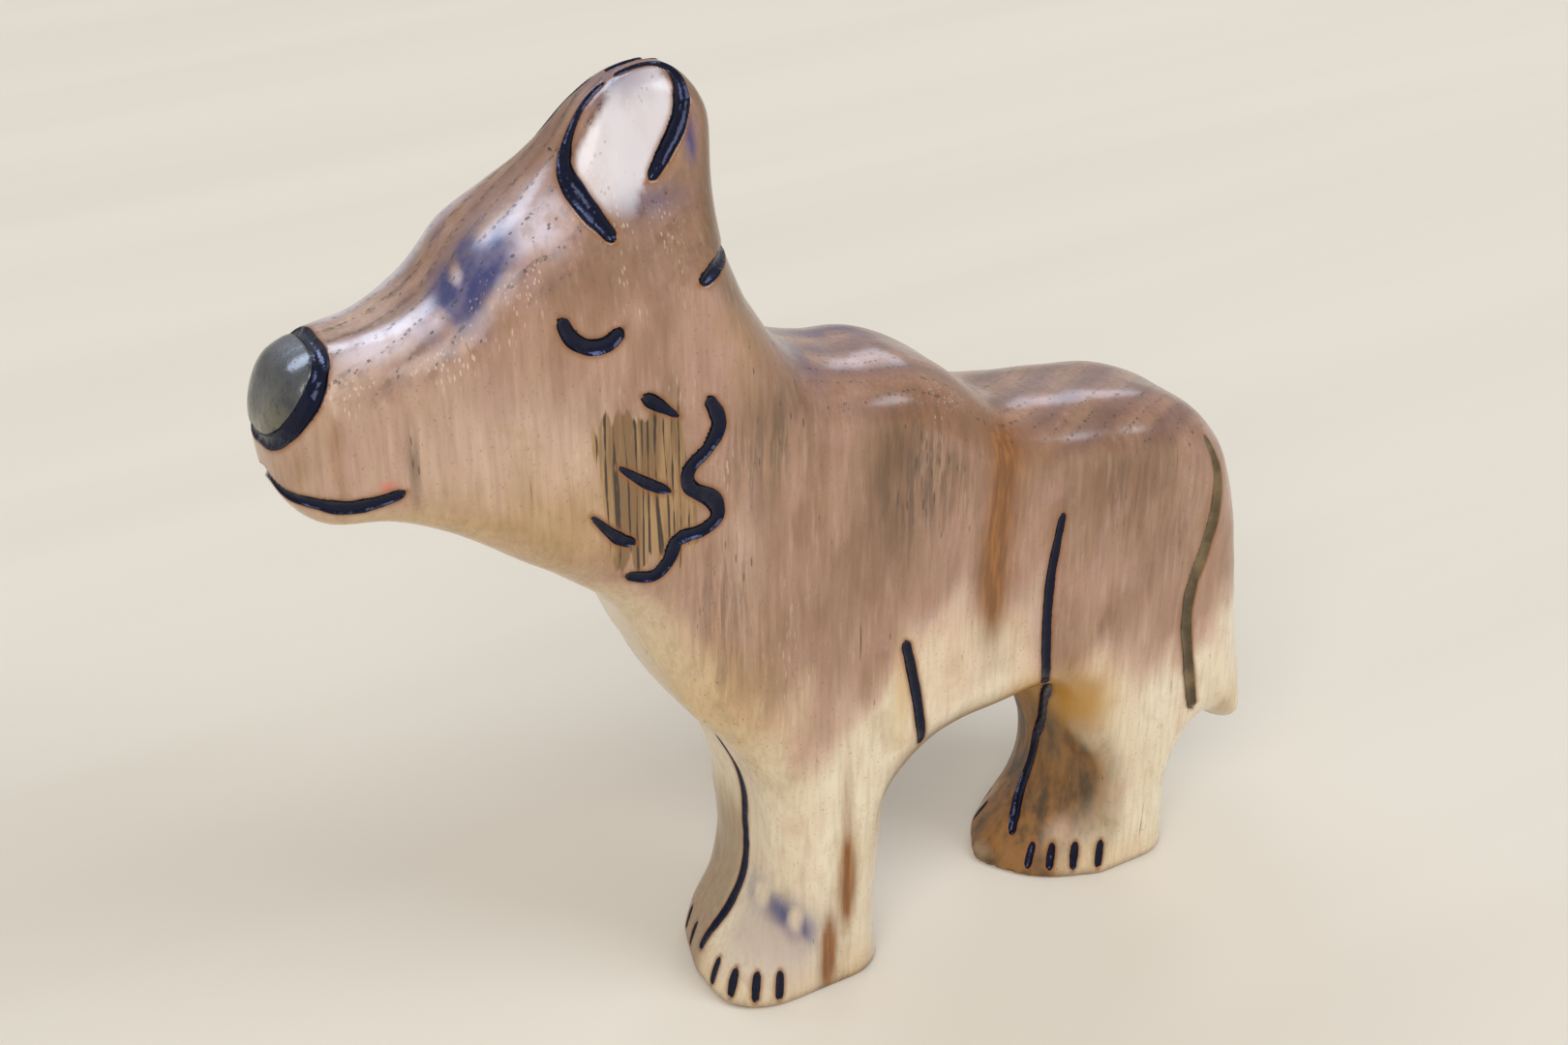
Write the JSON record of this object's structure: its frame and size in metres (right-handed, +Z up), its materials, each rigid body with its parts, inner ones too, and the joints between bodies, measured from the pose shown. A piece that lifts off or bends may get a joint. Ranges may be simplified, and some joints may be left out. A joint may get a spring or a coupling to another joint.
{
  "type": "carved wooden wolf figurine",
  "caption": "Standing wolf carved from a single thick board with rounded edges, a burnt nose and burnt, lacquered line work for the face, fur, legs and toes.",
  "frame": {"origin": "middle of the part's bounding box seen from above, at the level of the paws' soles", "axes": "+X towards the tail, so the head looks along -X; +Y towards the animal's right side; +Z up"},
  "size_m": [0.1574, 0.0285, 0.1477],
  "materials": {
    "carved_wood": "satin lacquer over brown-stained, scorched wood that is paler on the legs",
    "charred_nose": "glossy lacquer over charred wood",
    "burnt_line": "glossy blue-black lacquer over charred wood"
  },
  "bodies": {
    "root": {"cheek_fur_left": "burnt_line", "cheek_fur_right": "burnt_line", "cheek_tick_bottom_left": "burnt_line", "cheek_tick_bottom_right": "burnt_line", "cheek_tick_middle_left": "burnt_line", "cheek_tick_middle_right": "burnt_line", "cheek_tick_top_left": "burnt_line", "cheek_tick_top_right": "burnt_line", "ear_front_left": "burnt_line", "ear_front_right": "burnt_line", "ear_rear_left": "burnt_line", "ear_rear_right": "burnt_line", "elbow_left": "burnt_line", "elbow_right": "burnt_line", "eye_left": "burnt_line", "eye_right": "burnt_line", "fore_leg_line": "burnt_line", "fore_toe_left_1": "burnt_line", "fore_toe_left_2": "burnt_line", "fore_toe_left_3": "burnt_line", "fore_toe_left_4": "burnt_line", "fore_toe_right_1": "burnt_line", "fore_toe_right_2": "burnt_line", "fore_toe_right_3": "burnt_line", "fore_toe_right_4": "burnt_line", "hind_leg_line": "burnt_line", "hind_toe_left_1": "burnt_line", "hind_toe_left_2": "burnt_line", "hind_toe_left_3": "burnt_line", "hind_toe_left_4": "burnt_line", "hind_toe_right_1": "burnt_line", "hind_toe_right_2": "burnt_line", "hind_toe_right_3": "burnt_line", "hind_toe_right_4": "burnt_line", "mouth_line": "burnt_line", "nape_line": "burnt_line", "nose_pad": "charred_nose", "nose_ring": "burnt_line", "tail_left": "burnt_line", "tail_right": "burnt_line", "thigh_left": "burnt_line", "thigh_right": "burnt_line", "wood_body": "carved_wood"}
  },
  "joints": []
}
